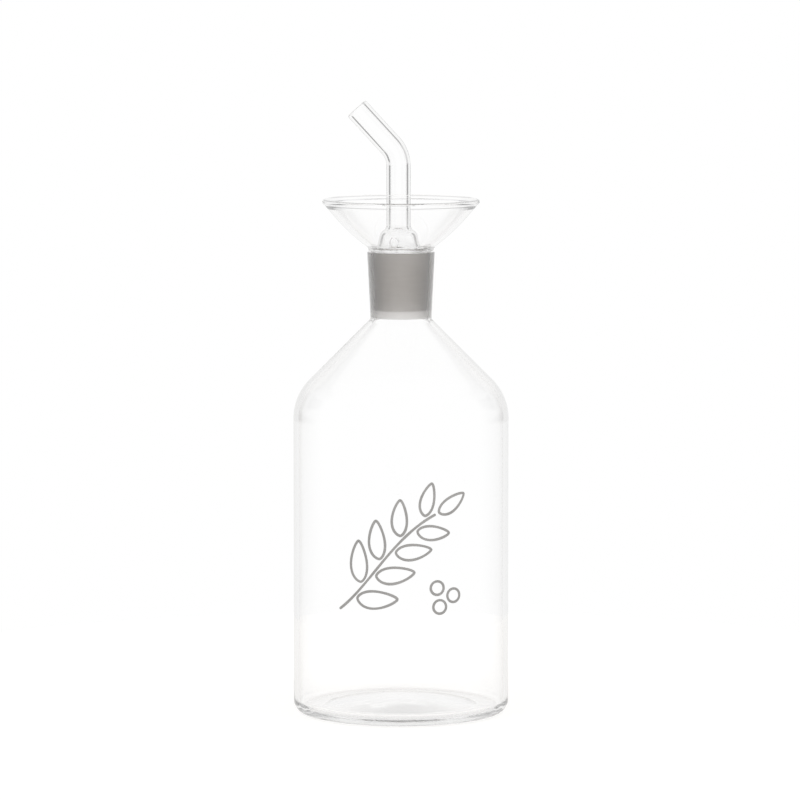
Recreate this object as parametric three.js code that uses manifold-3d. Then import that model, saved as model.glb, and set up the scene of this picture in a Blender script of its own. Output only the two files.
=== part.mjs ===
// A vinegar cruet: a clear glass bottle with a ground neck, and a lampworked stopper whose
// bent pouring tube stands on a bell inside an open drip bowl.
// Millimetres, +Z up. The origin is the centre of the base, and the tube pours towards -X.

import * as THREE from "three";
import { mergeVertices } from "three/addons/utils/BufferGeometryUtils.js";
import Module from "manifold-3d";

// Bottle body
const BODY_DIAMETER = 80;
const BODY_WALL = 2.0;
const BASE_THICKNESS = 3.0;
const HEEL_RADIUS = 4.2;
const PUNT_DIAMETER = 56;
const PUNT_RISE = 2.5;
const SIDE_HEIGHT = 118.4; // where the lines of the side and the shoulder would meet
const SHOULDER_ANGLE = 45; // degrees between the shoulder and the axis
const SHOULDER_RADIUS = 20;
const NECK_FILLET = 2.0;
const SHOULDER_COLLAR = 0.8; // short upright above the fillet, to which the neck is sealed

// Ground neck
const SOCKET_MOUTH = 21.7; // bore at the rim
const SOCKET_LENGTH = 23.4;
const SOCKET_WALL = 1.7;
const JOINT_TAPER = 0.1; // loss of diameter for each millimetre down
const RIM_ROUND = 0.5;

// Ground cone of the stopper
const GROUND_GAP = 0.15; // between the cone and the socket, measured along a radius
const SEAT_GAP = 0.3; // between the bowl and the rim of the neck
const CONE_LENGTH = 21.7; // below the rim of the neck
const CONE_WALL = 1.5;
const FOOT_ROUND = 0.5;

// Drip bowl
const BOWL_RIM_DIAMETER = 58.3;
const BOWL_DEPTH = 19.2;
const BOWL_WALL = 1.7;
const BOWL_BULGE = 0.85; // how far the flank swells out from a straight line
const BOWL_FLOOR = 1.4;
const STEM_HEIGHT = 1.0; // short upright between the rim of the neck and the flank
const STEM_ROUND = 2.0;
const SEAT_ROUND = 0.5;
const RIM_BEAD = 2.1;

// Bell
const BELL_OFFSET = 0.9; // how far the bell and its tube stand towards the pouring side
const BELL_FOOT_DIAMETER = 16.8;
const BELL_WAIST_DIAMETER = 15.2;
const BELL_CROWN_DIAMETER = 13.6;
const BELL_WAIST_HEIGHT = 2.0; // above the floor of the bowl
const BELL_HEIGHT = 5.8; // edge of the crown above the floor of the bowl
const BELL_CROWN_RISE = 1.4; // from that edge up to the tube
const BELL_WALL = 1.3;
const BELL_WAIST_ROUND = 4.0;
const BELL_CROWN_ROUND = 2.4;
const COLLAR_ROUND = 2.4;
const COLLAR_HEIGHT = 1.3; // short upright on the bell, to which the tube is sealed
const RETURN_HOLE_DIAMETER = 3.0;
const RETURN_HOLE_HEIGHT = 2.7; // centre above the floor of the bowl
const RETURN_HOLE_ANGLE = 14; // degrees from the front towards the pouring side

// Pouring tube
const TUBE_DIAMETER = 9.0;
const TUBE_WALL = 1.45;
const TUBE_RISE = 25.9; // from the collar to where the two straight lines would meet
const TUBE_REACH = 23.0; // from that corner to the tip
const TUBE_BEND_ANGLE = 42.5; // degrees
const TUBE_BEND_RADIUS = 11.5;

// Fineness of the round faces
const TURN_SIDES = 48;
const TUBE_SIDES = 24;
const TUBE_STEPS = 24;
const CHORD_ERROR = 0.06; // most that an arc's straight steps may fall short of it

// Finishes
const CLEAR_GLASS = { color: 0xeef1f0, roughness: 0.05, metalness: 0 };
const GROUND_GLASS = { color: 0xa09d9a, roughness: 0.75, metalness: 0 };

// Radii and heights that several pieces share
const shoulderAngle = THREE.MathUtils.degToRad(SHOULDER_ANGLE);
const bodyRadius = BODY_DIAMETER / 2;
const socketDraw = (JOINT_TAPER / 2) * SOCKET_LENGTH;
const socketRimRadius = SOCKET_MOUTH / 2 + SOCKET_WALL;
const socketRootRadius = socketRimRadius - socketDraw;
const socketRootBore = SOCKET_MOUTH / 2 - socketDraw;
const tubeRadius = TUBE_DIAMETER / 2;
const tubeBore = tubeRadius - TUBE_WALL;
const bellFootRadius = BELL_FOOT_DIAMETER / 2;
const bellFootBore = bellFootRadius - BELL_WALL;

const shoulderTop = SIDE_HEIGHT + (bodyRadius - socketRootRadius) / Math.tan(shoulderAngle);
const neckSeal = shoulderTop + NECK_FILLET * Math.tan(shoulderAngle / 2) + SHOULDER_COLLAR;
const neckRim = neckSeal + SOCKET_LENGTH;
const coneSeal = neckRim + SEAT_GAP;
const bowlFloor = coneSeal + BOWL_FLOOR;
const bellCrown = bowlFloor + BELL_HEIGHT;
const bellTop = bellCrown + BELL_CROWN_RISE;
const tubeSeal = bellTop + COLLAR_HEIGHT;

const wasm = await Module();
wasm.setup();

/** Points of an arc in the plane of a profile, from one angle to another. */
function arc(centre, radius, from, to) {
  const widest = 2 * Math.acos(1 - CHORD_ERROR / radius);
  const steps = Math.max(2, Math.ceil(Math.abs(to - from) / widest));
  return Array.from({ length: steps + 1 }, (_, i) => {
    const angle = from + ((to - from) * i) / steps;
    return [centre[0] + radius * Math.cos(angle), centre[1] + radius * Math.sin(angle)];
  });
}

/** Profile points from [radius, height, rounding] corners, with each rounding as an arc. */
function rounded(corners) {
  const at = (i) => corners[(i + corners.length) % corners.length];
  // The unit way from one corner to the next, and the room that a rounding may take of it.
  const side = (from, to) => {
    const way = new THREE.Vector2(to[0] - from[0], to[1] - from[1]);
    const room = to[2] ? way.length() / 2 : way.length();
    return { way: way.normalize(), room };
  };
  return corners.flatMap(([r, z, rounding = 0], i) => {
    if (rounding === 0) return [[r, z]];
    const corner = new THREE.Vector2(r, z);
    const back = side(at(i), at(i - 1));
    const ahead = side(at(i), at(i + 1));
    const half = Math.acos(back.way.dot(ahead.way)) / 2;
    const reach = Math.min(rounding / Math.tan(half), 0.98 * Math.min(back.room, ahead.room));
    const radius = reach * Math.tan(half);
    const bisector = back.way.clone().add(ahead.way).normalize();
    const centre = bisector.multiplyScalar(radius / Math.sin(half)).add(corner);
    const start = back.way.multiplyScalar(reach).add(corner).sub(centre).angle();
    const end = ahead.way.multiplyScalar(reach).add(corner).sub(centre).angle();
    const turn = THREE.MathUtils.euclideanModulo(end - start + Math.PI, 2 * Math.PI) - Math.PI;
    return arc(centre.toArray(), radius, start, start + turn);
  });
}

/** A solid turned about Z from profile points that run up the outside and down the inside. */
function turned(points) {
  const profile = points.map(([r, z]) => new THREE.Vector2(r, z));
  if (profile[0].x > 0) profile.push(profile[0].clone());
  return new THREE.LatheGeometry(profile, TURN_SIDES).rotateX(Math.PI / 2);
}

/** A closed manifold solid from a three.js geometry. */
function solid(geometry) {
  const bare = geometry.clone();
  bare.deleteAttribute("normal");
  bare.deleteAttribute("uv");
  const merged = mergeVertices(bare, 1e-3);
  const mesh = new wasm.Mesh({
    numProp: 3,
    vertProperties: merged.attributes.position.array,
    triVerts: new Uint32Array(merged.index.array),
  });
  return new wasm.Manifold(mesh);
}

/** A three.js geometry from a manifold solid. */
function geometryOf(body) {
  const mesh = body.getMesh();
  const geometry = new THREE.BufferGeometry();
  geometry.setAttribute("position", new THREE.BufferAttribute(mesh.vertProperties, 3));
  geometry.setIndex(new THREE.BufferAttribute(mesh.triVerts, 1));
  geometry.computeVertexNormals();
  return geometry;
}

/** Points of a shallow dome over the base, from the axis to its edge at the given height. */
function dome(edgeRadius, edgeHeight, rise) {
  const radius = (edgeRadius ** 2 + rise ** 2) / (2 * rise);
  const half = Math.asin(edgeRadius / radius);
  const centre = [0, edgeHeight + rise - radius];
  const points = arc(centre, radius, Math.PI / 2, Math.PI / 2 - half);
  return [[0, edgeHeight + rise], ...points.slice(1)];
}

/** Straight-sided bottle with a pushed-up base, a round heel and a conical shoulder. */
function bottleBody() {
  const innerRadius = bodyRadius - BODY_WALL;
  const innerCorner = SIDE_HEIGHT - BODY_WALL * Math.tan(shoulderAngle / 2);
  const innerCone = bodyRadius - BODY_WALL / Math.cos(shoulderAngle);
  const innerTop = SIDE_HEIGHT + (innerCone - socketRootBore) / Math.tan(shoulderAngle);
  const innerHeel = HEEL_RADIUS - BODY_WALL;
  return turned([
    ...dome(PUNT_DIAMETER / 2, 0, PUNT_RISE),
    ...rounded([
      [PUNT_DIAMETER / 2, 0],
      [bodyRadius, 0, HEEL_RADIUS],
      [bodyRadius, SIDE_HEIGHT, SHOULDER_RADIUS],
      [socketRootRadius, shoulderTop, NECK_FILLET],
      [socketRootRadius, neckSeal],
      [socketRootBore, neckSeal],
      [socketRootBore, innerTop],
      [innerRadius, innerCorner, SHOULDER_RADIUS - BODY_WALL],
      [innerRadius, BASE_THICKNESS, innerHeel],
      [PUNT_DIAMETER / 2, BASE_THICKNESS],
    ]).slice(1),
    ...dome(PUNT_DIAMETER / 2, BASE_THICKNESS, PUNT_RISE).reverse().slice(1),
  ]);
}

/** Tapered neck with the ground bore. */
function neckSocket() {
  return turned(
    rounded([
      [socketRootBore, neckSeal],
      [socketRootRadius, neckSeal],
      [socketRimRadius, neckRim, RIM_ROUND],
      [SOCKET_MOUTH / 2, neckRim, RIM_ROUND],
    ]),
  );
}

/** Outer radius of the ground cone at a height. */
function coneRadius(z) {
  return SOCKET_MOUTH / 2 - GROUND_GAP - (JOINT_TAPER / 2) * (neckRim - z);
}

/** Hollow ground cone that fits the neck. */
function stopperCone() {
  const foot = neckRim - CONE_LENGTH;
  return turned(
    rounded([
      [coneRadius(foot) - CONE_WALL, foot, FOOT_ROUND],
      [coneRadius(foot), foot, FOOT_ROUND],
      [coneRadius(coneSeal), coneSeal],
      [coneRadius(coneSeal) - CONE_WALL, coneSeal],
    ]),
  );
}

/** Open drip bowl: an upright stem on the cone, a swelling flank, a beaded rim and a floor ring. */
function funnelBowl() {
  const bead = RIM_BEAD / 2;
  const stemTop = coneSeal + STEM_HEIGHT;
  const root = new THREE.Vector2(socketRimRadius - BOWL_WALL / 2, stemTop + BOWL_FLOOR / 2);
  const rim = new THREE.Vector2(BOWL_RIM_DIAMETER / 2 - bead, coneSeal + BOWL_DEPTH - bead);
  const chord = rim.clone().sub(root);
  const radius = (chord.lengthSq() / 4 + BOWL_BULGE ** 2) / (2 * BOWL_BULGE);
  const inward = new THREE.Vector2(-chord.y, chord.x).normalize();
  const middle = root.clone().add(rim).multiplyScalar(0.5);
  const centre = inward.multiplyScalar(radius - BOWL_BULGE).add(middle);
  const outerRadius = radius + BOWL_WALL / 2;
  const innerRadius = radius - BOWL_WALL / 2;
  const angleAt = (z, r) => Math.asin((z - centre.y) / r);
  const rimAngle = angleAt(rim.y, radius);
  const grip = Math.acos(BOWL_WALL / RIM_BEAD); // where the flank runs into the bead
  const neckIn = (bead * Math.sin(grip)) / radius;
  const stemRadius = centre.x + outerRadius * Math.cos(angleAt(stemTop, outerRadius));
  const flankFoot = angleAt(stemTop + STEM_ROUND, outerRadius);
  return turned(
    rounded([
      [coneRadius(coneSeal) - CONE_WALL, coneSeal],
      [stemRadius, coneSeal, SEAT_ROUND],
      [stemRadius, stemTop, STEM_ROUND],
      ...arc(centre.toArray(), outerRadius, flankFoot, rimAngle - neckIn),
      ...arc(rim.toArray(), bead, rimAngle - grip, rimAngle + Math.PI + grip).slice(1, -1),
      ...arc(centre.toArray(), innerRadius, rimAngle - neckIn, angleAt(bowlFloor, innerRadius)),
      [bellFootBore - BELL_OFFSET, bowlFloor],
    ]),
  );
}

/** Bell over the mouth of the cone, with the hole that lets drips back and air in. */
function tubeBell() {
  const waist = bowlFloor + BELL_WAIST_HEIGHT;
  const crownRadius = BELL_CROWN_DIAMETER / 2;
  const crownBore = crownRadius - BELL_WALL;
  const slope = Math.atan(BELL_CROWN_RISE / (crownRadius - tubeRadius));
  const crownInside = bellCrown - BELL_WALL * Math.tan(Math.PI / 4 - slope / 2);
  const topInside = crownInside + (crownBore - tubeBore) * Math.tan(slope);
  const shell = turned(
    rounded([
      [bellFootRadius, bowlFloor],
      [BELL_WAIST_DIAMETER / 2, waist, BELL_WAIST_ROUND],
      [crownRadius, bellCrown, BELL_CROWN_ROUND],
      [tubeRadius, bellTop, COLLAR_ROUND],
      [tubeRadius, tubeSeal],
      [tubeBore, tubeSeal],
      [tubeBore, topInside, COLLAR_ROUND / 2],
      [crownBore, crownInside, BELL_CROWN_ROUND / 2],
      [BELL_WAIST_DIAMETER / 2 - BELL_WALL, waist, BELL_WAIST_ROUND],
      [bellFootBore, bowlFloor],
    ]),
  );
  const drill = new THREE.CylinderGeometry(
    RETURN_HOLE_DIAMETER / 2,
    RETURN_HOLE_DIAMETER / 2,
    bellFootRadius,
    TUBE_SIDES / 2,
  );
  drill.translate(0, -bellFootRadius, bowlFloor + RETURN_HOLE_HEIGHT);
  drill.rotateZ(THREE.MathUtils.degToRad(-RETURN_HOLE_ANGLE));
  return geometryOf(solid(shell).subtract(solid(drill))).translate(-BELL_OFFSET, 0, 0);
}

/** Centre line of the tube: straight up, round one bend, then straight to the tip. */
class PourLine extends THREE.Curve {
  constructor() {
    super();
    this.bend = THREE.MathUtils.degToRad(TUBE_BEND_ANGLE);
    const tangent = TUBE_BEND_RADIUS * Math.tan(this.bend / 2);
    this.up = TUBE_RISE - tangent;
    this.round = TUBE_BEND_RADIUS * this.bend;
    this.out = TUBE_REACH - tangent;
  }

  getPoint(t, target = new THREE.Vector3()) {
    const along = t * (this.up + this.round + this.out);
    const turn = THREE.MathUtils.clamp((along - this.up) / TUBE_BEND_RADIUS, 0, this.bend);
    const past = Math.max(0, along - this.up - this.round);
    const x = -TUBE_BEND_RADIUS * (1 - Math.cos(turn)) - past * Math.sin(turn);
    const z = Math.min(along, this.up) + TUBE_BEND_RADIUS * Math.sin(turn) + past * Math.cos(turn);
    return target.set(x - BELL_OFFSET, 0, tubeSeal + z);
  }
}

/** Bent tube with its bore open from end to end. */
function pourTube() {
  const section = new THREE.Shape().absarc(0, 0, tubeRadius, 0, 2 * Math.PI);
  section.holes.push(new THREE.Path().absarc(0, 0, tubeBore, 0, 2 * Math.PI, true));
  return new THREE.ExtrudeGeometry(section, {
    extrudePath: new PourLine(),
    steps: TUBE_STEPS,
    curveSegments: TUBE_SIDES / 2,
  });
}

/** A named mesh with its own material. */
function piece(name, geometry, finish) {
  const mesh = new THREE.Mesh(geometry, new THREE.MeshStandardMaterial(finish));
  mesh.name = name;
  return mesh;
}

const bottle = new THREE.Group();
bottle.add(piece("bottle_body", bottleBody(), CLEAR_GLASS));
bottle.add(piece("neck_socket", neckSocket(), GROUND_GLASS));

const stopper = new THREE.Group();
stopper.add(piece("stopper_cone", stopperCone(), GROUND_GLASS));
stopper.add(piece("funnel_bowl", funnelBowl(), CLEAR_GLASS));
stopper.add(piece("tube_bell", tubeBell(), CLEAR_GLASS));
stopper.add(piece("pour_tube", pourTube(), CLEAR_GLASS));

const cruet = new THREE.Group();
cruet.add(bottle, stopper);

export default cruet;
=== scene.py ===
"""Looks of a glass vinegar cruet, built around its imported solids.

The bottle and the stopper are each one fused piece of lampworked glass, so each is one closed mesh
here, with the ground faces of the joint between them as face groups of those meshes. Metres, +Z up.
The front of the cruet faces -Y and its tube pours towards -X.
"""

import logging
import math
from abc import ABC, abstractmethod
from collections.abc import Iterator, Mapping, Sequence
from dataclasses import dataclass, field
from enum import Enum, IntEnum

import bmesh
import bpy
from mathutils import Matrix, Vector, noise


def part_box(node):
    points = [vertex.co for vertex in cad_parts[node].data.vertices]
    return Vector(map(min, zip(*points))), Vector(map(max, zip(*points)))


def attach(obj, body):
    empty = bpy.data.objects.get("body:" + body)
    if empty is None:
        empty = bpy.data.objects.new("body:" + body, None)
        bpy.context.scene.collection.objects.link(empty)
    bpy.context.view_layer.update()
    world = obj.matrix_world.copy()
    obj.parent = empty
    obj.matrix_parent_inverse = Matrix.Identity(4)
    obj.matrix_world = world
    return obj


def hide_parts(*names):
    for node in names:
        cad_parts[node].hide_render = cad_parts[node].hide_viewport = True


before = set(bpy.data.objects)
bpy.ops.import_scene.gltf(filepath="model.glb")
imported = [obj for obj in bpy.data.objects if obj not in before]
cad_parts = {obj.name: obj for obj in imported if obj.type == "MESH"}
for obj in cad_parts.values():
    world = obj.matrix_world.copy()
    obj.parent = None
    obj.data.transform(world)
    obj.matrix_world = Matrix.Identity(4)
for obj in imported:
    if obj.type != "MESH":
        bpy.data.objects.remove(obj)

MM = 0.001
Colour = tuple[float, float, float, float]
WHITE: Colour = (1, 1, 1, 1)

log = logging.getLogger("cruet")


class Face(IntEnum):
    """Finish of a face of a glass piece, as the index of its material.

    The third finish, on the outside of the shoulder and the crest of the bead, is glass with a stronger
    painted shade along its edges, and ROOT, the wall that runs into the bead, has a dark painted edge
    shade.
    """

    CLEAR = 0
    GROUND = 1
    SHADED_EDGE = 2
    ROOT = 3


class Body(Enum):
    """The two things that the cruet comes apart into."""

    BOTTLE = "bottle"
    STOPPER = "stopper"


class Slot(Enum):
    """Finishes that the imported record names."""

    CLEAR_GLASS = "clear_glass"
    GROUND_GLASS = "ground_glass"


@dataclass(frozen=True)
class Corner:
    """A corner of a half section: distance from the axis, height, and the radius of its rounding."""

    radius: float
    height: float
    rounding: float = 0.0

    @property
    def point(self) -> Vector:
        """The corner itself, in the plane of the section."""
        return Vector((self.radius, self.height))


@dataclass(frozen=True)
class Ring:
    """One ring of a swept form: its radius, the place of its centre and how far its axis leans to -X."""

    radius: float
    height: float
    offset: float = 0.0
    lean: float = 0.0
    ripple: float = 0.0

    def points(self, sides: int) -> Iterator[Vector]:
        """The ring's vertices, or the one on the axis where it has no radius.

        Args:
            sides: how many vertices a full ring has.

        Returns:
            The vertices in the row frame, turning from +X to +Y.
        """
        across = Vector((math.cos(self.lean), 0, math.sin(self.lean)))
        centre = Vector((self.offset, 0, self.height))
        for i in range(sides if self.radius > 0 else 1):
            angle = 2 * math.pi * i / sides
            spoke = across * math.cos(angle) + Vector((0, math.sin(angle), 0))
            point = centre + spoke * self.radius
            yield point + Vector((0, 0, self.ripple * self.unevenness(point)))

    @staticmethod
    def unevenness(point: Vector, wave: float = 7 * MM) -> float:
        """Smooth noise from -1 to 1, the same at each run."""
        return noise.noise(point / wave)


class Section:
    """Half sections, walked with the glass on the left hand."""

    finest: float = math.radians(4)
    longest: float = 1.4 * MM
    support: float = 0.6 * MM
    fullest: float = 0.98

    @classmethod
    def arc(cls, centre: Vector, radius: float, start: float, end: float) -> list[Corner]:
        """Points of an arc.

        Args:
            centre: middle of the arc.
            radius: its radius.
            start: angle of its first point, in radians.
            end: angle of its last point.

        Returns:
            Plain corners along the arc, both ends included.
        """
        turn = abs(end - start)
        steps = max(2, math.ceil(turn / cls.finest), math.ceil(turn * radius / cls.longest))
        angles = [start + (end - start) * i / steps for i in range(steps + 1)]
        return [
            Corner(centre.x + radius * math.cos(a), centre.y + radius * math.sin(a)) for a in angles
        ]

    @classmethod
    def rounded(cls, corners: Sequence[Corner]) -> list[Corner]:
        """Replaces each corner that has a rounding by an arc.

        Args:
            corners: the open line of corners.

        Returns:
            Plain corners, with a support next to both ends of each longer straight stretch.
        """
        line: list[Corner] = [Corner(corners[0].radius, corners[0].height)]
        for before, corner, after in zip(corners, corners[1:], corners[2:]):
            line += cls.fillet(before, corner, after)
        line.append(Corner(corners[-1].radius, corners[-1].height))
        return cls.supported(line)

    @classmethod
    def fillet(cls, before: Corner, corner: Corner, after: Corner) -> list[Corner]:
        """One corner as an arc.

        Args:
            before: the corner that the line comes from.
            corner: the corner to round.
            after: the corner that the line goes on to.

        Returns:
            The arc's points, or the corner itself if it has no rounding.
        """
        if corner.rounding == 0:
            return [corner]
        back = before.point - corner.point
        ahead = after.point - corner.point
        half = back.angle(ahead) / 2
        room = min(
            back.length / (2 if before.rounding else 1),
            ahead.length / (2 if after.rounding else 1),
        )
        reach = min(corner.rounding / math.tan(half), cls.fullest * room)
        back.normalize()
        ahead.normalize()
        radius = reach * math.tan(half)
        centre = corner.point + (back + ahead).normalized() * radius / math.sin(half)
        first = corner.point + back * reach - centre
        last = corner.point + ahead * reach - centre
        start = math.atan2(first.y, first.x)
        turn = math.remainder(math.atan2(last.y, last.x) - start, 2 * math.pi)
        return cls.arc(centre, radius, start, start + turn)

    @classmethod
    def supported(cls, line: Sequence[Corner]) -> list[Corner]:
        """Adds a point near both ends of each long straight stretch, so that shading stays flat along it.

        Args:
            line: plain corners.

        Returns:
            The same line with the added points.
        """
        made = [line[0]]
        for a, b in zip(line, line[1:]):
            way = b.point - a.point
            if way.length > 3 * cls.support:
                step = way.normalized() * cls.support
                made += [Corner(*(a.point + step)), Corner(*(b.point - step))]
            made.append(b)
        return made


class Nodes:
    """A shader's node tree while it is being built."""

    def __init__(self, tree: bpy.types.NodeTree) -> None:
        """Empties the tree that it is given."""
        self.tree = tree
        tree.nodes.clear()

    def add(
        self, kind: str, inputs: Mapping[str | int, object] | None = None, **settings: object
    ) -> bpy.types.Node:
        """Makes a node.

        Args:
            kind: the node's type, without the words that all shader nodes share.
            inputs: values or outputs of other nodes, by the name or number of the input.
            **settings: properties of the node.

        Returns:
            The new node.
        """
        node = self.tree.nodes.new("ShaderNode" + kind)
        for name, value in settings.items():
            setattr(node, name, value)
        for key, value in (inputs or {}).items():
            if isinstance(value, bpy.types.NodeSocket):
                self.tree.links.new(value, node.inputs[key])
            else:
                node.inputs[key].default_value = value
        return node

    def math(self, operation: str, *values: object, clamp: bool = False) -> bpy.types.NodeSocket:
        """The output of a Math node on values or other outputs."""
        node = self.add("Math", dict(enumerate(values)), operation=operation, use_clamp=clamp)
        return node.outputs[0]

    def mix(
        self, factor: bpy.types.NodeSocket, first: object, second: object, blend: str = "MIX"
    ) -> bpy.types.NodeSocket:
        """Mixes two colours.

        Args:
            factor: share of the second colour.
            first: the colour, or the output of another node, at 0.
            second: the same at 1.
            blend: how the second colour acts on the first.

        Returns:
            The mixed colour.
        """
        inputs = {"Fac": factor, "Color1": first, "Color2": second}
        return self.add("MixRGB", inputs, blend_type=blend).outputs["Color"]

    def ramp(
        self, factor: bpy.types.NodeSocket, stops: Sequence[tuple[float, float]], warmth: float = 0.0
    ) -> bpy.types.NodeSocket:
        """A grey ramp.

        Args:
            factor: what drives it, from 0 to 1.
            stops: positions and brightnesses, in order.
            warmth: how far the darker stops lean to a warm tone.

        Returns:
            The ramp's colour.
        """
        node = self.add("ValToRGB", {"Fac": factor})
        elements = node.color_ramp.elements
        for position, _ in stops[2:]:
            elements.new(position)
        for element, (position, level) in zip(elements, stops):
            element.position = position
            element.color = (level, level ** (1 + warmth / 2), level ** (1 + warmth), 1)
        return node.outputs["Color"]

    def grain(
        self, scale: float, detail: float, stretch: tuple[float, float, float] = (1, 1, 1)
    ) -> bpy.types.NodeSocket:
        """Noise in the object's own space.

        Args:
            scale: waves per metre.
            detail: octaves.
            stretch: factors on the three axes before the noise.

        Returns:
            The noise, from 0 to 1.
        """
        place = self.add("TexCoord").outputs["Object"]
        mapped = self.add("Mapping", {"Vector": place, "Scale": stretch}).outputs["Vector"]
        noisy = self.add("TexNoise", {"Vector": mapped, "Scale": scale, "Detail": detail})
        return noisy.outputs["Fac"]

    def spread(self, factor: bpy.types.NodeSocket, low: float, high: float) -> bpy.types.NodeSocket:
        """Maps a noise to the range from low to high."""
        mapped = self.add("MapRange", {"Value": factor, "To Min": low, "To Max": high})
        return mapped.outputs["Result"]

    def surface(self, shader: bpy.types.Node, output: str = "OutputMaterial") -> None:
        """Connects the finished shader."""
        self.add(output, {"Surface": shader.outputs[0]})


def new_material(name: str) -> tuple[bpy.types.Material, Nodes]:
    """Makes an empty material.

    Args:
        name: the material's name.

    Returns:
        The material and its node tree, ready to be built.
    """
    made = bpy.data.materials.new(name)
    made.use_nodes = True
    return made, Nodes(made.node_tree)


@dataclass(frozen=True)
class ClearGlass:
    """Fire-polished borosilicate glass, faintly wavy, with painted shade that greys its colour where the
    eye looks along its wall.
    """

    name: str
    # Ramp of painted shade: the glass's colour by how far the face turns from the eye, darker along the
    # wall.
    painted_edge_shade: tuple[tuple[float, float], ...]
    gleam: float = 1.0
    warmth: float = 0.0
    ior: float = 1.47
    haze: float = 0.02
    smears_per_metre: float = 60.0
    wave: float = 14 * MM
    wave_height: float = 0.02 * MM

    def material(self) -> bpy.types.Material:
        """The finished material."""
        made, nodes = new_material(self.name)
        smears = nodes.spread(nodes.grain(self.smears_per_metre, 3), 0.0, self.haze)
        waves = nodes.grain(1 / self.wave, 1)
        bump = nodes.add("Bump", {"Height": waves, "Strength": 1.0, "Distance": self.wave_height})
        # Painted shade: Layer Weight's Facing drives a darker base colour where the eye looks along the
        # wall.
        facing = nodes.add("LayerWeight", {"Blend": 0.5}).outputs["Facing"]
        nodes.surface(
            nodes.add(
                "BsdfPrincipled",
                {
                    "Base Color": nodes.ramp(facing, self.painted_edge_shade, self.warmth),
                    "Roughness": smears,
                    "IOR": self.ior,
                    "Specular Tint": (self.gleam, self.gleam, self.gleam, 1),
                    "Transmission Weight": 1.0,
                    "Normal": bump.outputs["Normal"],
                },
            )
        )
        return made


@dataclass(frozen=True)
class GroundGlass:
    """Glass ground with fine grit, with faint turning marks; its grey is painted shade, standing in for
    the darker surroundings that the frosting scatters.
    """

    # Painted shade: both tones are greys darker than the colourless glass, and the turning marks wander
    # between them.
    light: Colour = (0.775, 0.755, 0.735, 1)
    dark: Colour = (0.685, 0.665, 0.645, 1)
    ior: float = 1.47
    smoothest: float = 0.5
    roughest: float = 0.62
    grit: float = 0.35 * MM
    grit_height: float = 0.02 * MM
    grit_strength: float = 0.6
    marks_per_metre: float = 120.0
    mark_stretch: tuple[float, float, float] = (1, 1, 9)

    def material(self) -> bpy.types.Material:
        """The finished material."""
        made, nodes = new_material("ground_glass")
        grit = nodes.grain(1 / self.grit, 2)
        turning = nodes.grain(self.marks_per_metre, 3, self.mark_stretch)
        # Painted shade in the base colour, varied by the turning marks.
        colour = nodes.mix(turning, self.dark, self.light)
        bump = nodes.add(
            "Bump", {"Height": grit, "Strength": self.grit_strength, "Distance": self.grit_height}
        )
        nodes.surface(
            nodes.add(
                "BsdfPrincipled",
                {
                    "Base Color": colour,
                    "Roughness": nodes.spread(grit, self.smoothest, self.roughest),
                    "IOR": self.ior,
                    "Transmission Weight": 1.0,
                    "Normal": bump.outputs["Normal"],
                },
            )
        )
        return made


@dataclass(frozen=True)
class GreyEnamel:
    """Fired grey enamel, printed a little unevenly."""

    light: Colour = (0.67, 0.655, 0.635, 1)
    dark: Colour = (0.46, 0.447, 0.43, 1)
    smoothest: float = 0.45
    roughest: float = 0.65
    grains_per_metre: float = 1400.0
    grain_height: float = 0.02 * MM
    grain_strength: float = 0.4
    patches_per_metre: float = 180.0

    def material(self) -> bpy.types.Material:
        """The finished material."""
        made, nodes = new_material("grey_enamel")
        grain = nodes.grain(self.grains_per_metre, 3)
        cover = nodes.grain(self.patches_per_metre, 2)
        colour = nodes.mix(cover, self.dark, self.light)
        bump = nodes.add(
            "Bump", {"Height": grain, "Strength": self.grain_strength, "Distance": self.grain_height}
        )
        nodes.surface(
            nodes.add(
                "BsdfPrincipled",
                {
                    "Base Color": colour,
                    "Roughness": nodes.spread(grain, self.smoothest, self.roughest),
                    "Normal": bump.outputs["Normal"],
                },
            )
        )
        return made


def placed(name: str, mesh: bmesh.types.BMesh) -> bpy.types.Object:
    """Turns a finished mesh into an object.

    Args:
        name: the piece's name.
        mesh: its mesh, which is used up.

    Returns:
        The new object, in the scene.
    """
    data = bpy.data.meshes.new(name)
    mesh.to_mesh(data)
    mesh.free()
    piece = bpy.data.objects.new(name, data)
    bpy.context.scene.collection.objects.link(piece)
    return piece


def swept(name: str, rings: Sequence[Ring], sides: int, closed: bool) -> bpy.types.Object:
    """Makes a smooth closed mesh from rings.

    Args:
        name: the piece's name.
        rings: the rings in order; one without a radius is a pole on the axis.
        sides: vertices on a full ring.
        closed: whether the last ring joins the first again.

    Returns:
        The new object, in the scene.
    """
    mesh = bmesh.new()
    loops = [[mesh.verts.new(p) for p in ring.points(sides)] for ring in rings]
    pairs = list(zip(loops, loops[1:]))
    if closed:
        pairs.append((loops[-1], loops[0]))
    for low, high in pairs:
        for i in range(sides):
            j = (i + 1) % sides
            corners = [low[i % len(low)], low[j % len(low)], high[j % len(high)], high[i % len(high)]]
            mesh.faces.new(list(dict.fromkeys(corners))).smooth = True
    return placed(name, mesh)


class GlassPart(ABC):
    """A fused piece of glass whose faces have finishes of their own."""

    @abstractmethod
    def build(self) -> bpy.types.Object:
        """The part as one closed mesh on its body."""

    @abstractmethod
    def finishes(self, ground: bpy.types.Material) -> list[bpy.types.Material]:
        """The part's materials in the order of Face."""

    @abstractmethod
    def finish_at(self, centre: Vector, normal: Vector) -> Face:
        """The finish of a face, by its centre and normal."""

    def dress(self, piece: bpy.types.Object, ground: bpy.types.Material) -> None:
        """Gives each face its finish.

        Args:
            piece: the part's mesh.
            ground: the material of ground faces, which both parts share.
        """
        for finish in self.finishes(ground):
            piece.data.materials.append(finish)
        for polygon in piece.data.polygons:
            polygon.material_index = self.finish_at(polygon.center, polygon.normal)


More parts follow.
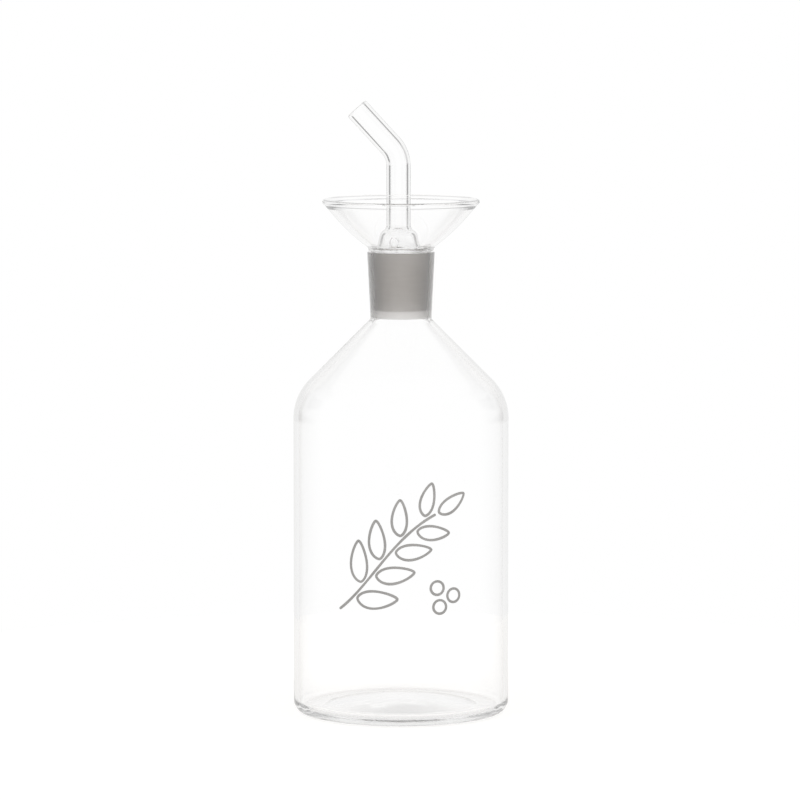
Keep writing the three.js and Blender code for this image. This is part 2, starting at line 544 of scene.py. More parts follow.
@dataclass
class Bottle(GlassPart):
    """The blown bottle with its pushed-up base and its neck, ground inside."""

    # Clear glass with a painted shade along its edges, warm grey where the eye looks along the wall.
    clear: ClearGlass = ClearGlass(
        "bottle_glass",
        ((0.0, 1.0), (0.36, 1.0), (0.50, 1.0), (0.60, 0.995), (0.70, 0.985), (0.82, 0.95), (1.0, 0.79)),
        gleam=0.1,
        warmth=0.25,
    )
    # The shoulder's outside: the same glass with a stronger, wider painted shade along its outline.
    shoulder_painted_shade: ClearGlass = ClearGlass(
        "shoulder_glass_painted_shade",
        ((0.0, 1.0), (0.36, 1.0), (0.52, 1.0), (0.58, 0.95), (0.64, 0.88), (0.72, 0.84), (1.0, 0.79)),
        gleam=0.1,
        warmth=0.1,
    )
    wall: float = 2.0 * MM
    base: float = 3.0 * MM
    heel: float = 4.2 * MM
    punt_radius: float = 28.0 * MM
    punt_rise: float = 2.5 * MM
    punt_edge: float = 8.0 * MM
    dome_share: float = 0.9
    dome_steps: int = 16
    shoulder_angle: float = math.radians(45)
    shoulder_round: float = 20.0 * MM
    neck_fillet: float = 2.0 * MM
    neck_wall: float = 1.7 * MM
    rim_round: float = 0.5 * MM
    taper: float = 0.05
    collar: float = 0.8 * MM
    ground_margin: float = 0.5 * MM
    floor_ripple: float = 0.05 * MM
    floor_margin: float = 0.5 * MM
    sides: int = 320
    radius: float = field(init=False)
    neck_root: float = field(init=False)
    side_top: float = field(init=False)
    rim: Vector = field(init=False)

    def __post_init__(self) -> None:
        """Takes the outer sizes from the solids."""
        body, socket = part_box("bottle_body")[1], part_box("neck_socket")[1]
        self.radius = body.x
        self.neck_root = body.z
        self.side_top = body.z - body.x
        self.rim = Vector((socket.x + self.taper * self.rim_round, socket.z))

    def bore(self, height: float) -> float:
        """Radius of the ground bore at a height."""
        return self.rim.x - self.neck_wall - self.taper * (self.rim.y - height)

    def dome(self, edge_height: float) -> list[Corner]:
        """Points of the pushed-up base, short of its rounded edge.

        Args:
            edge_height: height of the dome's edge.

        Returns:
            Points from the axis outwards.
        """
        radius = (self.punt_radius**2 + self.punt_rise**2) / (2 * self.punt_rise)
        half = math.asin(self.punt_radius / radius) * self.dome_share
        centre = edge_height + self.punt_rise - radius
        angles = [half * i / self.dome_steps for i in range(self.dome_steps + 1)]
        return [Corner(radius * math.sin(a), centre + radius * math.cos(a)) for a in angles]

    def shoulder(self) -> tuple[float, float]:
        """The slope of the shoulder.

        Returns:
            The heights of its corners at the side and at the neck.
        """
        root = self.bore(self.neck_root) + self.neck_wall
        top = self.neck_root - self.collar - self.neck_fillet * math.tan(self.shoulder_angle / 2)
        return top - (self.radius - root) / math.tan(self.shoulder_angle), top

    def outside(self) -> list[Corner]:
        """The outer half section from the middle of the base to the rim."""
        root = self.bore(self.neck_root) + self.neck_wall
        side, top = self.shoulder()
        return [
            *self.dome(0),
            Corner(self.punt_radius, 0, self.punt_edge),
            Corner(self.radius, 0, self.heel),
            Corner(self.radius, side, self.shoulder_round),
            Corner(root, top, self.neck_fillet),
            Corner(root, self.neck_root),
            Corner(self.rim.x, self.rim.y, self.rim_round),
            Corner(self.rim.x - self.neck_wall, self.rim.y, self.rim_round),
        ]

    def inside(self) -> list[Corner]:
        """The inner half section from the rim to the middle of the floor."""
        half = math.tan(self.shoulder_angle / 2)
        slope = math.tan(self.shoulder_angle)
        root = self.bore(self.neck_root)
        side, _ = self.shoulder()
        cone = self.radius - self.wall / math.cos(self.shoulder_angle)
        return [
            Corner(self.bore(self.rim.y - self.ground_margin), self.rim.y - self.ground_margin),
            Corner(root, self.neck_root),
            Corner(root, side + (cone - root) / slope, self.neck_fillet + self.neck_wall),
            Corner(self.radius - self.wall, side - self.wall * half, self.shoulder_round - self.wall),
            Corner(self.radius - self.wall, self.base, self.heel - self.wall),
            Corner(self.punt_radius, self.base, self.punt_edge),
            *reversed(self.dome(self.base)),
        ]

    def build(self) -> bpy.types.Object:
        """The bottle as one closed mesh on its body."""
        line = Section.rounded([*self.outside(), *self.inside()])
        floor = self.base + self.punt_rise + self.floor_margin
        half = len(line) // 2
        rings = [
            Ring(c.radius, c.height, ripple=self.floor_ripple if i > half and c.height < floor else 0)
            for i, c in enumerate(line)
        ]
        piece = swept("bottle_glass", rings, self.sides, closed=False)
        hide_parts("bottle_body", "neck_socket")
        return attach(piece, Body.BOTTLE.value)

    def finishes(self, ground: bpy.types.Material) -> list[bpy.types.Material]:
        """The bottle's materials in the order of Face."""
        return [self.clear.material(), ground, self.shoulder_painted_shade.material()]

    def finish_at(self, centre: Vector, normal: Vector) -> Face:
        """The bore of the neck is ground, the outside of the shoulder has a stronger painted edge shade,
        and the rest is clear.
        """
        inward = centre.x * normal.x + centre.y * normal.y < 0
        neck = self.neck_root - self.neck_wall / 2
        if inward and neck < centre.z < self.rim.y - self.ground_margin:
            return Face.GROUND
        # Painted shade: the shoulder's outer faces take the material with the stronger edge shade.
        return Face.SHADED_EDGE if not inward and self.side_top < centre.z < neck else Face.CLEAR


@dataclass
class Stopper(GlassPart):
    """The lampworked stopper: ground cone, drip bowl, bell and bent pouring tube."""

    # Clear glass with a painted shade along its edges.
    clear: ClearGlass = ClearGlass(
        "stopper_glass",
        ((0.0, 1.0), (0.36, 1.0), (0.50, 0.975), (0.65, 0.94), (0.82, 0.88), (1.0, 0.83)),
        warmth=0.12,
    )
    # The bead's crest: painted shade that turns the glass dark where the eye looks along it, drawing the
    # rim's dark lines.
    polished: ClearGlass = ClearGlass(
        "bead_glass_painted_shade", ((0.0, 1.0), (0.25, 1.0), (0.40, 0.62), (0.60, 0.40), (1.0, 0.30))
    )
    # The wall that runs into the bead: painted shade, almost black where the eye looks along it.
    root_painted_shade: ClearGlass = ClearGlass(
        "bead_root_glass_painted_shade", ((0.0, 1.0), (0.54, 1.0), (0.64, 0.60), (0.72, 0.12), (0.85, 0.04), (1.0, 0.04))
    )
    taper: float = 0.05
    cone_wall: float = 1.5 * MM
    foot_round: float = 0.5 * MM
    foot_edge: float = 1.0 * MM
    seat_round: float = 0.6 * MM
    ground_margin: float = 0.25 * MM
    stem_height: float = 1.0 * MM
    stem_round: float = 2.0 * MM
    bowl_wall: float = 1.7 * MM
    bowl_bulge: float = 0.85 * MM
    bowl_root: float = 11.7 * MM
    gutter_round: float = 2.4 * MM
    gutter_rise: float = 1.5 * MM
    bead: float = 1.05 * MM
    bead_root: float = 1.6 * MM
    bead_crest: float = 0.7
    bell_wall: float = 1.3 * MM
    bell_margin: float = 1.0 * MM
    bell_waist: float = 7.6 * MM
    bell_crown: float = 6.8 * MM
    waist_height: float = 2.0 * MM
    crown_height: float = 5.8 * MM
    crown_rise: float = 1.4 * MM
    waist_round: float = 4.0 * MM
    crown_round: float = 2.4 * MM
    collar_round: float = 2.4 * MM
    tube_wall: float = 1.45 * MM
    tube_rise: float = 25.9 * MM
    tube_reach: float = 23.0 * MM
    bend_angle: float = math.radians(42.5)
    bend_radius: float = 11.5 * MM
    bend_steps: int = 24
    tip_steps: int = 12
    hole_radius: float = 1.5 * MM
    hole_height: float = 2.7 * MM
    hole_angle: float = math.radians(14)
    hole_lip: float = 0.2 * MM
    hole_overrun: float = 1.2 * MM
    hole_steps: int = 5
    hole_sides: int = 32
    sides: int = 200
    cone_foot: float = field(init=False)
    cone_top: float = field(init=False)
    seat: float = field(init=False)
    rim: Vector = field(init=False)
    bell_foot: float = field(init=False)
    bell_offset: float = field(init=False)
    floor: float = field(init=False)
    tube_radius: float = field(init=False)
    tube_seal: float = field(init=False)
    painted_shade_from: float = field(init=False)

    def __post_init__(self) -> None:
        """Takes the outer sizes from the solids."""
        cone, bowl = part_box("stopper_cone"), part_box("funnel_bowl")
        bell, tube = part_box("tube_bell"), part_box("pour_tube")
        self.cone_foot, self.seat = cone[0].z, cone[1].z
        self.cone_top = cone[1].x
        self.rim = Vector((bowl[1].x, bowl[1].z))
        self.bell_foot, self.floor = bell[1].y, bell[0].z
        self.tube_radius, self.tube_seal = tube[1].y, tube[0].z
        self.bell_offset = (bell[0].x + bell[1].x) / 2
        centre, radius, end = self.flank(self.bowl_wall / 2)
        # From this height up, the bead and its root take the dark painted edge shade.
        self.painted_shade_from = centre.y + radius * math.sin(end - self.bead_root / radius)

    @property
    def grip(self) -> float:
        """Angle on the bead between the normal of the bowl's wall and the edge of that wall."""
        return math.acos(self.bowl_wall / 2 / self.bead)

    @property
    def bend_tangent(self) -> float:
        """How far before the corner of its centre line the tube starts to bend."""
        return self.bend_radius * math.tan(self.bend_angle / 2)

    def cone(self, height: float) -> float:
        """Outer radius of the ground cone at a height."""
        return self.cone_top - self.taper * (self.seat - height)

    def flank(self, offset: float) -> tuple[Vector, float, float]:
        """The arc of the bowl's flank.

        Args:
            offset: distance of the wanted face from the middle of the wall, outwards.

        Returns:
            The arc's centre, its radius and the angle at which the bead starts.
        """
        root = Vector((self.bowl_root, self.stem_height + (self.seat + self.floor) / 2))
        rim = self.rim - Vector((self.bead, self.bead))
        chord = rim - root
        radius = (chord.length_squared / 4 + self.bowl_bulge**2) / (2 * self.bowl_bulge)
        inward = Vector((-chord.y, chord.x)).normalized()
        centre = (root + rim) / 2 + inward * (radius - self.bowl_bulge)
        angle = math.asin((rim.y - centre.y) / radius) - self.bead * math.sin(self.grip) / radius
        return centre, radius + offset, angle

    def under(self) -> list[Corner]:
        """Outside of the cone and the bowl, from the foot to the bead."""
        centre, radius, end = self.flank(self.bowl_wall / 2)
        top = self.seat + self.stem_height
        start = math.asin((top + self.stem_round - centre.y) / radius)
        root = end - self.bead_root / radius
        stem = centre.x + math.sqrt(radius**2 - (top - centre.y) ** 2)
        foot = self.cone(self.cone_foot)
        return [
            Corner(foot - self.cone_wall, self.cone_foot, self.foot_round),
            Corner(foot, self.cone_foot, self.foot_round),
            Corner(self.cone(self.seat - self.ground_margin), self.seat - self.ground_margin),
            Corner(self.cone_top, self.seat, self.foot_round),
            Corner(stem, self.seat, self.seat_round),
            Corner(stem, top, self.stem_round),
            *Section.arc(centre, radius, start, root)[:-1],
            *Section.arc(centre, radius, root, end),
        ]

    def lip(self) -> list[Corner]:
        """The fire-polished bead of the bowl."""
        middle = self.rim - Vector((self.bead, self.bead))
        centre, radius, _ = self.flank(0)
        along = math.asin((middle.y - centre.y) / radius)
        return Section.arc(middle, self.bead, along - self.grip, along + math.pi + self.grip)[1:-1]

    def basin(self) -> list[Corner]:
        """Inside of the bowl, the gutter and the outside of the bell up to the tube."""
        centre, radius, start = self.flank(-self.bowl_wall / 2)
        end = math.asin((self.floor + self.gutter_rise - centre.y) / radius)
        gutter = centre.x + math.sqrt(radius**2 - (self.floor - centre.y) ** 2)
        crown = self.floor + self.crown_height
        return [
            *Section.arc(centre, radius, start, end),
            Corner(gutter, self.floor, self.gutter_round),
            Corner(self.bell_foot, self.floor, self.gutter_round / 2),
            Corner(self.bell_waist, self.floor + self.waist_height, self.waist_round),
            Corner(self.bell_crown, crown, self.crown_round),
            Corner(self.tube_radius, crown + self.crown_rise, self.collar_round),
            Corner(self.tube_radius, self.tube_seal),
        ]

    def throat(self) -> list[Corner]:
        """Inside of the bell and the cone, from the tube down to the foot."""
        slope = math.atan(self.crown_rise / (self.bell_crown - self.tube_radius))
        edge = self.bell_crown - self.bell_wall
        crown = self.floor + self.crown_height - self.bell_wall * math.tan(math.pi / 4 - slope / 2)
        bore = self.tube_radius - self.tube_wall
        foot = self.bell_foot - self.bell_wall
        return [
            Corner(bore, self.tube_seal),
            Corner(bore, crown + (edge - bore) * math.tan(slope), self.collar_round),
            Corner(edge, crown, self.crown_round * 2 / 3),
            Corner(self.bell_waist - self.bell_wall, self.floor + self.waist_height, self.waist_round),
            Corner(foot, self.floor, self.waist_round),
            Corner(self.cone_top - self.cone_wall, self.seat, self.waist_round),
            Corner(self.cone(self.cone_foot) - self.cone_wall, self.cone_foot + self.foot_edge),
        ]

    def tube_ring(self, along: float, radius: float) -> Ring:
        """A ring on the centre line of the tube.

        Args:
            along: distance along the line from the seal.
            radius: the ring's radius.

        Returns:
            The ring, square to the line.
        """
        straight = self.tube_rise - self.bend_tangent
        turn = min(max((along - straight) / self.bend_radius, 0), self.bend_angle)
        past = max(0, along - straight - self.bend_radius * self.bend_angle)
        offset = -self.bend_radius * (1 - math.cos(turn)) - past * math.sin(turn)
        height = min(along, straight) + self.bend_radius * math.sin(turn) + past * math.cos(turn)
        return Ring(radius, self.tube_seal + height, self.bell_offset + offset, turn)

    def level_ring(self, corner: Corner, central: bool) -> Ring:
        """A level ring, on the bell's own axis where it is part of the bell.

        Args:
            corner: its radius and height.
            central: whether it lies inside the gutter.

        Returns:
            The ring, which comes back to the bottle's axis below the floor of the bowl.
        """
        share = min(max((corner.height - self.seat) / (self.floor - self.seat), 0), 1)
        return Ring(corner.radius, corner.height, self.bell_offset * share * central)

    def tube(self) -> list[Ring]:
        """Outside of the tube, its fire-polished tip and its bore."""
        start = self.tube_rise - self.bend_tangent
        end = start + self.bend_radius * self.bend_angle
        tip = end + self.tube_reach - self.bend_tangent - self.tube_wall / 2
        bend = [start + (end - start) * i / self.bend_steps for i in range(self.bend_steps + 1)]
        near = Section.support
        line = [near, start - near, *bend, end + near, tip - near]
        middle = self.tube_radius - self.tube_wall / 2
        turns = [math.pi * i / self.tip_steps for i in range(self.tip_steps + 1)]
        lips = [
            self.tube_ring(
                tip + self.tube_wall / 2 * math.sin(a), middle + self.tube_wall / 2 * math.cos(a)
            )
            for a in turns
        ]
        bore = self.tube_radius - self.tube_wall
        return [
            *(self.tube_ring(s, self.tube_radius) for s in line),
            *lips,
            *(self.tube_ring(s, bore) for s in reversed(line)),
        ]

    def build(self) -> bpy.types.Object:
        """The stopper as one closed mesh on its body."""
        outer = Section.rounded([self.throat()[-1], *self.under(), *self.lip(), *self.basin()])[1:]
        inner = Section.rounded(self.throat())
        rings = [
            *(self.level_ring(c, c.radius < self.bell_foot + self.bell_margin) for c in outer),
            *self.tube(),
            *(self.level_ring(c, True) for c in inner),
        ]
        piece = swept("stopper_glass", rings, self.sides, closed=True)
        self.drill(piece)
        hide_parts("stopper_cone", "funnel_bowl", "tube_bell", "pour_tube")
        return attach(piece, Body.STOPPER.value)

    def drill(self, piece: bpy.types.Object) -> None:
        """Cuts the return hole, with softened lips, through the bell.

        Args:
            piece: the stopper before it is cut.
        """
        outer = (self.bell_waist + self.bell_crown) / 2
        inner = outer - self.bell_wall
        far = self.hole_overrun
        turns = [math.pi / 2 * i / self.hole_steps for i in range(self.hole_steps + 1)]
        flare = [(self.hole_lip * (1 - math.sin(a)), self.hole_lip * (1 - math.cos(a))) for a in turns]
        shape = [(inner - far, 0.0), (inner - far, self.hole_radius + self.hole_lip)]
        shape += [(inner + depth, self.hole_radius + wide) for wide, depth in flare]
        shape += [(outer - depth, self.hole_radius + wide) for wide, depth in reversed(flare)]
        shape += [(outer + far, self.hole_radius + self.hole_lip), (outer + far, 0.0)]
        rings = [Ring(radius, reach) for reach, radius in shape]
        cutter = swept("return_hole", rings, self.hole_sides, closed=False)
        cutter.rotation_euler = (math.pi / 2, 0, -self.hole_angle)
        cutter.location = (self.bell_offset, 0, self.floor + self.hole_height)
        cut = piece.modifiers.new("return_hole", "BOOLEAN")
        cut.object = cutter
        cut.solver = "EXACT"
        bpy.context.view_layer.update()
        cut_piece = piece.evaluated_get(bpy.context.evaluated_depsgraph_get())
        drilled = bpy.data.meshes.new_from_object(cut_piece)
        piece.modifiers.remove(cut)
        piece.data = drilled
        bpy.data.objects.remove(cutter)

    def finishes(self, ground: bpy.types.Material) -> list[bpy.types.Material]:
        """The stopper's materials in the order of Face."""
        return [self.clear.material(), ground, self.polished.material(), self.root_painted_shade.material()]

    def finish_at(self, centre: Vector, normal: Vector) -> Face:
        """The cone is ground outside, the bead's crest and the wall that runs into it have a dark painted
        edge shade, and the rest is clear.
        """
        outward = centre.x * normal.x + centre.y * normal.y > 0
        # Painted shade: outer faces of the bead's root and crest take the dark edge-shade materials.
        if outward and centre.xy.length > self.rim.x / 2 and self.painted_shade_from < centre.z < self.rim.y:
            if centre.z < self.rim.y - 2 * self.bead:
                return Face.ROOT
            return Face.SHADED_EDGE if normal.z > self.bead_crest else Face.CLEAR
        high = self.cone_foot + self.foot_round < centre.z < self.seat - self.ground_margin
        return Face.GROUND if outward and high else Face.CLEAR


@dataclass(frozen=True)
class Stroke:
    """A line of the drawing on the unrolled side of the bottle: across, and up."""

    line: Sequence[Vector]
    closed: bool = False

    def stations(self, half: float) -> list[tuple[Vector, Vector, float]]:
        """Sections of the pen's line, with round ends where it is open.

        Args:
            half: half of the pen's width.

        Returns:
            The middle of each section, the way across the line, and half of the width there.
        """
        last = len(self.line) - 1
        made = []
        for i, point in enumerate(self.line):
            before = self.line[i - 1] if i or self.closed else point
            after = self.line[(i + 1) % (last + 1)] if i < last or self.closed else point
            way = (after - before).normalized()
            made.append((point, Vector((-way.y, way.x)), half * self.pressure(point)))
        return made if self.closed else [*self.cap(made[0], -1), *made, *self.cap(made[-1], 1)]

    @staticmethod
    def pressure(point: Vector, wave: float = 6 * MM, sway: float = 0.16) -> float:
        """The hand's uneven pressure on the pen at a point, about 1."""
        return 1 + sway * noise.noise(point.to_3d() / wave)

    @staticmethod
    def cap(
        end: tuple[Vector, Vector, float], side: int
    ) -> list[tuple[Vector, Vector, float]]:
        """Sections of a round end.

        Args:
            end: the first or the last section of the line.
            side: -1 before the first section, 1 after the last one.

        Returns:
            The added sections, in the order of the line.
        """
        point, across, half = end
        way = Vector((across.y, -across.x))
        turns = [math.radians(a) for a in (65, 40, 15)]
        made = [(point + way * side * half * math.cos(a), across, half * math.sin(a)) for a in turns]
        return made[::side]


@dataclass
class Sprig:
    """A sprig with leaves and berries, drawn in fired enamel on the front of the bottle."""

    pen: float = 0.96 * MM
    raised: float = 0.05 * MM
    sunk: float = 0.03 * MM
    middle: float = 63.4 * MM
    stem_points: tuple[tuple[float, float], ...] = ((-23.5, -20), (-11, -11), (-3, 7.5), (12.5, 15))
    pairs: int = 4
    first_leaf: float = 0.20
    last_leaf: float = 0.86
    stagger: float = 0.055
    spread: float = math.radians(52)
    longest: float = 15.0 * MM
    shortest: float = 12.0 * MM
    slimness: float = 0.42
    clear: float = 1.9 * MM
    berries: tuple[tuple[float, float], ...] = ((13.5, -12), (20, -15), (14.5, -19))
    berry_radius: float = 2.5 * MM
    leaf_bend: float = 0.12
    tip_bend: float = 0.1
    leaf_taper: float = 1.3
    leaf_belly: float = 0.25
    leaf_points: int = 44
    berry_points: int = 28
    stem_steps: int = 60
    near: float = 0.01
    radius: float = field(init=False)

    def __post_init__(self) -> None:
        """Takes the side of the bottle from its solid."""
        self.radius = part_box("bottle_body")[1].x

    def stem_at(self, share: float) -> Vector:
        """A point of the stem, from its foot at 0 to its end at 1."""
        a, b, c, d = (Vector(p) * MM for p in self.stem_points)
        rest = 1 - share
        return a * rest**3 + b * 3 * rest**2 * share + c * 3 * rest * share**2 + d * share**3

    def leaf(self, foot: Vector, way: Vector, length: float, bend: float) -> Stroke:
        """The outline of one leaf.

        Args:
            foot: its end at the stem.
            way: the direction in which it points.
            length: from foot to tip.
            bend: how far its tip swings aside.

        Returns:
            The closed stroke.
        """
        across = Vector((-way.y, way.x))
        points = []
        for i in range(self.leaf_points):
            turn = 2 * math.pi * i / self.leaf_points
            along = (1 - math.cos(turn)) / 2
            wide = math.copysign(abs(math.sin(turn)) ** self.leaf_taper, math.sin(turn))
            wide *= 1 + self.leaf_belly * math.cos(turn)
            aside = wide * self.slimness / 2 + bend * along**2
            points.append(foot + (way * along + across * aside) * length)
        return Stroke(points, closed=True)

    def leaves(self) -> list[Stroke]:
        """Leaves in pairs along the stem, and one at its end."""
        made = []
        for i in range(self.pairs):
            share = self.first_leaf + (self.last_leaf - self.first_leaf) * i / (self.pairs - 1)
            length = self.longest + (self.shortest - self.longest) * i / (self.pairs - 1)
            for side in (-1, 1):
                at = share + side * self.stagger
                way = (self.stem_at(at + self.near) - self.stem_at(at - self.near)).normalized()
                turned = Vector((way.x, way.y))
                turned.rotate(Matrix.Rotation(side * self.spread, 2))
                foot = self.stem_at(at) + turned * self.clear
                made.append(self.leaf(foot, turned, length, -side * self.leaf_bend))
        end = (self.stem_at(1) - self.stem_at(1 - 2 * self.near)).normalized()
        made.append(self.leaf(self.stem_at(1) + end * self.clear, end, self.shortest, self.tip_bend))
        return made

    def berry(self, place: tuple[float, float]) -> Stroke:
        """A ring for one berry."""
        middle = Vector(place) * MM
        turns = [2 * math.pi * i / self.berry_points for i in range(self.berry_points)]
        return Stroke(
            [middle + Vector((math.cos(a), math.sin(a))) * self.berry_radius for a in turns], closed=True
        )

    def wrapped(self, point: Vector, lift: float) -> Vector:
        """A point of the drawing on the side of the bottle, raised by lift."""
        angle = point.x / self.radius
        away = self.radius + lift
        return Vector((away * math.sin(angle), -away * math.cos(angle), self.middle + point.y))

    def draw(self, mesh: bmesh.types.BMesh, stroke: Stroke) -> None:
        """Adds a stroke as a thin closed ribbon.

        Args:
            mesh: the drawing so far.
            stroke: the stroke to add.
        """
        rows = []
        for point, across, half in stroke.stations(self.pen / 2):
            left, right = point - across * half, point + across * half
            low = [(left, -self.sunk), (right, -self.sunk)]
            high = [(right, self.raised), (left, self.raised)]
            rows.append([mesh.verts.new(self.wrapped(*corner)) for corner in low + high])
        pairs = list(zip(rows, rows[1:]))
        if stroke.closed:
            pairs.append((rows[-1], rows[0]))
        else:
            mesh.faces.new(rows[0])
            mesh.faces.new(rows[-1])
        for here, there in pairs:
            for k in range(4):
                mesh.faces.new((here[k], here[(k + 1) % 4], there[(k + 1) % 4], there[k]))

    def build(self) -> bpy.types.Object:
        """The whole drawing as one piece on the bottle."""
        mesh = bmesh.new()
        stem = Stroke([self.stem_at(i / self.stem_steps) for i in range(self.stem_steps + 1)])
        for stroke in (stem, *self.leaves(), *(self.berry(b) for b in self.berries)):
            self.draw(mesh, stroke)
        bmesh.ops.recalc_face_normals(mesh, faces=mesh.faces)
        piece = placed("enamel_sprig", mesh)
        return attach(piece, Body.BOTTLE.value)

    @staticmethod
    def dress(piece: bpy.types.Object) -> None:
        """Gives the drawing its enamel."""
        piece.data.materials.append(GreyEnamel().material())


@dataclass(frozen=True)
class Lamp:
    """A soft square lamp that shines at the cruet."""

    name: str
    place: tuple[float, float, float]
    watts: float
    side: float = 0.7

    def build(self, aim: Vector) -> bpy.types.Object:
        """Makes the lamp.

        Args:
            aim: the point that it shines at.

        Returns:
            The lamp, which lights matt faces and stays out of the glass's mirror images.
        """
        data = bpy.data.lights.new(self.name, "AREA")
        data.size = self.side
        data.energy = self.watts
        lamp = bpy.data.objects.new(self.name, data)
        lamp.location = self.place
        lamp.rotation_euler = (aim - lamp.location).to_track_quat("-Z", "Y").to_euler()
        lamp.visible_glossy = False
        lamp.visible_transmission = False
        bpy.context.scene.collection.objects.link(lamp)
        return lamp


@dataclass
class Studio:
    """White table and backdrop, soft light and the camera.

    The ramps say how bright the studio is for light that the glass has bent or mirrored. Those called
    reach and levels go by the height that a ray points at, from 0 straight down to 1 straight up. The
    fringe and the panels go by its turn to either side, from 0 straight back to 1 at the camera.
    """

    image_side: int = 800
    pixels_per_metre: float = 2690.0
    sensor: float = 36.0
    distance: float = 1.9
    camera_height: float = 0.3105
    aim_height: float = 0.1167
    aside: float = -0.37 * MM
    farthest: float = 20.0
    bounces: int = 200
    table_radius: float = 0.26
    table_sides: int = 96
    table_drop: float = 0.2 * MM
    table_glow: float = 0.87
    table_tone: Colour = (1, 0.991, 0.978, 1)
    # Painted shadow on the table under the bottle: its darkest level, its middle, and where it starts to
    # fade and is gone.
    painted_shadow_level: float = 0.69
    table_mirrored: float = 0.87
    shade_middle: tuple[float, float, float] = (0, -4 * MM, 0)
    shade_core: float = 4 * MM
    shade_edge: float = 31 * MM
    table_colour: Colour = (0.24, 0.24, 0.24, 1)
    backdrop: float = 1.0
    caught: float = 0.90
    daylight: float = 0.5
    lamps: tuple[Lamp, ...] = (
        Lamp("lamp_left", (-1.1, -1.0, 1.3), 9.0),
        Lamp("lamp_right", (1.2, -0.8, 1.2), 8.0),
    )
    fringe: tuple[tuple[float, float], ...] = (
        (0.0, 1.0),
        (0.02, 0.97),
        (0.06, 0.91),
        (0.16, 0.92),
        (0.24, 1.0),
        (1.0, 1.0),
    )
    fringe_reach: tuple[tuple[float, float], ...] = (
        (0.0, 0.0),
        (0.36, 0.0),
        (0.42, 1.0),
        (0.56, 1.0),
        (0.62, 0.0),
        (1.0, 0.0),
    )
    panels: tuple[tuple[float, float], ...] = (
        (0.0, 1.0),
        (0.165, 1.0),
        (0.21, 0.34),
        (0.37, 0.34),
        (0.43, 1.0),
        (0.58, 1.0),
        (0.64, 0.72),
        (0.77, 0.72),
        (0.84, 1.0),
        (1.0, 1.0),
    )
    panel_reach: tuple[tuple[float, float], ...] = (
        (0.0, 1.0),
        (0.38, 1.0),
        (0.41, 0.3),
        (0.448, 0.3),
        (0.458, 1.0),
        (0.487, 1.0),
        (0.51, 0.5),
        (0.68, 0.5),
        (0.72, 0.9),
        (0.81, 1.0),
        (0.825, 0.3),
        (0.87, 0.0),
        (1.0, 0.0),
    )
    deep_reach: tuple[tuple[float, float], ...] = (
        (0.0, 1.0),
        (0.40, 1.0),
        (0.43, 0.2),
        (0.448, 0.2),
        (0.46, 1.0),
        (0.70, 1.0),
        (0.80, 0.0),
        (1.0, 0.0),
    )
    levels: tuple[tuple[float, float], ...] = (
        (0.0, 0.75),
        (0.28, 0.75),
        (0.34, 1.0),
        (0.59, 1.0),
        (0.67, 0.54),
        (0.84, 0.54),
        (0.92, 1.0),
        (1.0, 1.0),
    )

    def camera(self) -> bpy.types.Object:
        """A long lens a little above the cruet, on the line of its front."""
        place = Vector((self.aside, -self.distance, self.camera_height))
        aim = Vector((self.aside, 0, self.aim_height))
        way = aim - place
        data = bpy.data.cameras.new("camera")
        data.sensor_width = self.sensor
        data.lens = self.sensor * self.pixels_per_metre * way.length / self.image_side
        data.clip_end = self.farthest
        camera = bpy.data.objects.new("camera", data)
        camera.location = place
        camera.rotation_euler = way.to_track_quat("-Z", "Y").to_euler()
        bpy.context.scene.collection.objects.link(camera)
        bpy.context.scene.camera = camera
        return camera

    def table(self) -> bpy.types.Object:
        """A round white table top just under the bottle, with a painted shadow under its pushed-up base, a
        little to the front, on top of its own lit shading.
        """
        rings = [Ring(0, -self.table_drop), Ring(self.table_radius, -self.table_drop)]
        top = swept("table_top", list(reversed(rings)), self.table_sides, closed=False)
        made, nodes = new_material("white_table")
        ray = nodes.add("LightPath")
        mirrored = self.at_least(nodes, ray.outputs["Glossy Depth"], 1)
        place = nodes.add("TexCoord").outputs["Object"]
        # Painted shadow: a soft round shade around shade_middle darkens the table's glow under the bottle.
        away = nodes.add("VectorMath", {0: place, 1: self.shade_middle}, operation="DISTANCE")
        under = nodes.add(
            "MapRange",
            {
                "Value": away.outputs["Value"],
                "From Min": self.shade_core,
                "From Max": self.shade_edge,
                "To Min": self.painted_shadow_level,
            },
            interpolation_type="SMOOTHSTEP",
        )
        glance = nodes.spread(mirrored, self.table_glow, self.table_glow * self.table_mirrored)
        level = nodes.math("MULTIPLY", glance, under.outputs["Result"])
        cloth = nodes.add("BsdfDiffuse", {"Color": self.table_colour})
        strength = nodes.math("MULTIPLY", self.seen(nodes, ray), level)
        glow = nodes.add("Emission", {"Color": self.table_tone, "Strength": strength})
        nodes.surface(nodes.add("AddShader", {0: cloth.outputs[0], 1: glow.outputs[0]}))
        top.data.materials.append(made)
        return top

    @staticmethod
    def seen(nodes: Nodes, ray: bpy.types.Node) -> bpy.types.NodeSocket:
        """1 for what the camera sees, straight or by way of the glass, and 0 for light on a matt face."""
        both = nodes.math("ADD", ray.outputs["Is Glossy Ray"], ray.outputs["Is Transmission Ray"])
        return nodes.math("ADD", both, ray.outputs["Is Camera Ray"], clamp=True)

    @staticmethod
    def at_least(nodes: Nodes, depth: bpy.types.NodeSocket, count: int) -> bpy.types.NodeSocket:
        """1 where a light path was mirrored or let through count times or more, and 0 elsewhere."""
        return nodes.math("GREATER_THAN", depth, count - 0.5)

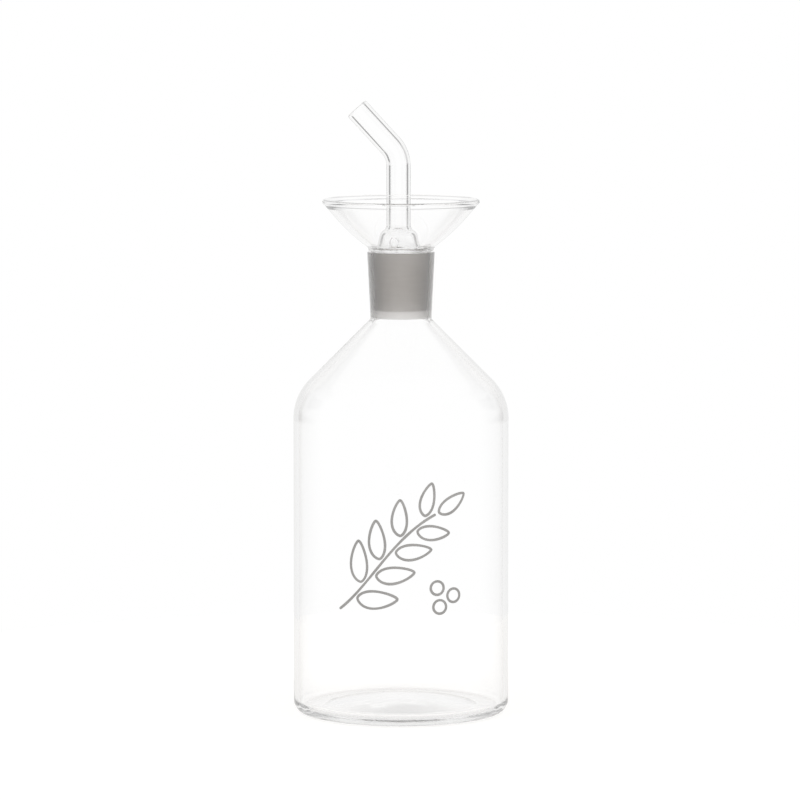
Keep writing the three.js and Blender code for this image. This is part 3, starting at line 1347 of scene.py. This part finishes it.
    def world(self) -> bpy.types.World:
        """White all round, with darker panels at the sides, above and below for what the glass bends."""
        made = bpy.data.worlds.new("studio")
        made.use_nodes = True
        nodes = Nodes(made.node_tree)
        ray = nodes.add("LightPath")
        way = nodes.add("SeparateXYZ", {0: nodes.add("TexCoord").outputs["Generated"]})
        across = nodes.math("ABSOLUTE", way.outputs["X"])
        turn = nodes.math("DIVIDE", nodes.math("ARCTAN2", across, way.outputs["Y"]), math.pi)
        rise = nodes.math("MULTIPLY_ADD", way.outputs["Z"], 0.5, 0.5)
        mirrored = self.at_least(nodes, ray.outputs["Glossy Depth"], 1)
        inside = self.at_least(nodes, ray.outputs["Transmission Depth"], 2)
        deep = self.at_least(nodes, ray.outputs["Transmission Depth"], 4)
        reach = nodes.mix(deep, nodes.ramp(rise, self.panel_reach), nodes.ramp(rise, self.deep_reach))
        within = nodes.math("MULTIPLY", reach, nodes.math("DIVIDE", inside, ray.outputs["Glossy Depth"]))
        caught = self.at_least(nodes, ray.outputs["Glossy Depth"], 2)
        fringe = nodes.mix(nodes.ramp(rise, self.fringe_reach), WHITE, nodes.ramp(turn, self.fringe))
        sides = nodes.mix(within, fringe, nodes.ramp(turn, self.panels), "MULTIPLY")
        sides = nodes.mix(caught, sides, (self.caught, self.caught, self.caught, 1), "MULTIPLY")
        above = nodes.mix(deep, nodes.ramp(rise, self.levels), WHITE)
        bent = nodes.mix(mirrored, above, sides)
        behind = nodes.mix(ray.outputs["Is Camera Ray"], bent, WHITE)
        daylight = (self.daylight, self.daylight, self.daylight, 1)
        shown = nodes.mix(self.seen(nodes, ray), daylight, behind)
        nodes.surface(nodes.add("Background", {"Color": shown, "Strength": self.backdrop}), "OutputWorld")
        bpy.context.scene.world = made
        return made

    def set_up(self) -> None:
        """Camera, table, light and the way that colours are shown."""
        scene = bpy.context.scene
        scene.view_settings.view_transform = "Standard"
        scene.cycles.max_bounces = self.bounces
        scene.cycles.glossy_bounces = self.bounces
        scene.cycles.transmission_bounces = self.bounces
        self.camera()
        self.table()
        self.world()
        for lamp in self.lamps:
            lamp.build(Vector((0, 0, self.aim_height)))


def main() -> None:
    """Builds and dresses the cruet and sets up the studio."""
    logging.basicConfig(level=logging.INFO, format="%(name)s: %(message)s")
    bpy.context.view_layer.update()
    ground = GroundGlass().material()
    for part in (Bottle(), Stopper()):
        piece = part.build()
        part.dress(piece, ground)
        log.info("%s: %d faces", piece.name, len(piece.data.polygons))
    sprig = Sprig()
    piece = sprig.build()
    sprig.dress(piece)
    log.info("%s: %d faces", piece.name, len(piece.data.polygons))
    Studio().set_up()


if __name__ == "__main__":
    main()
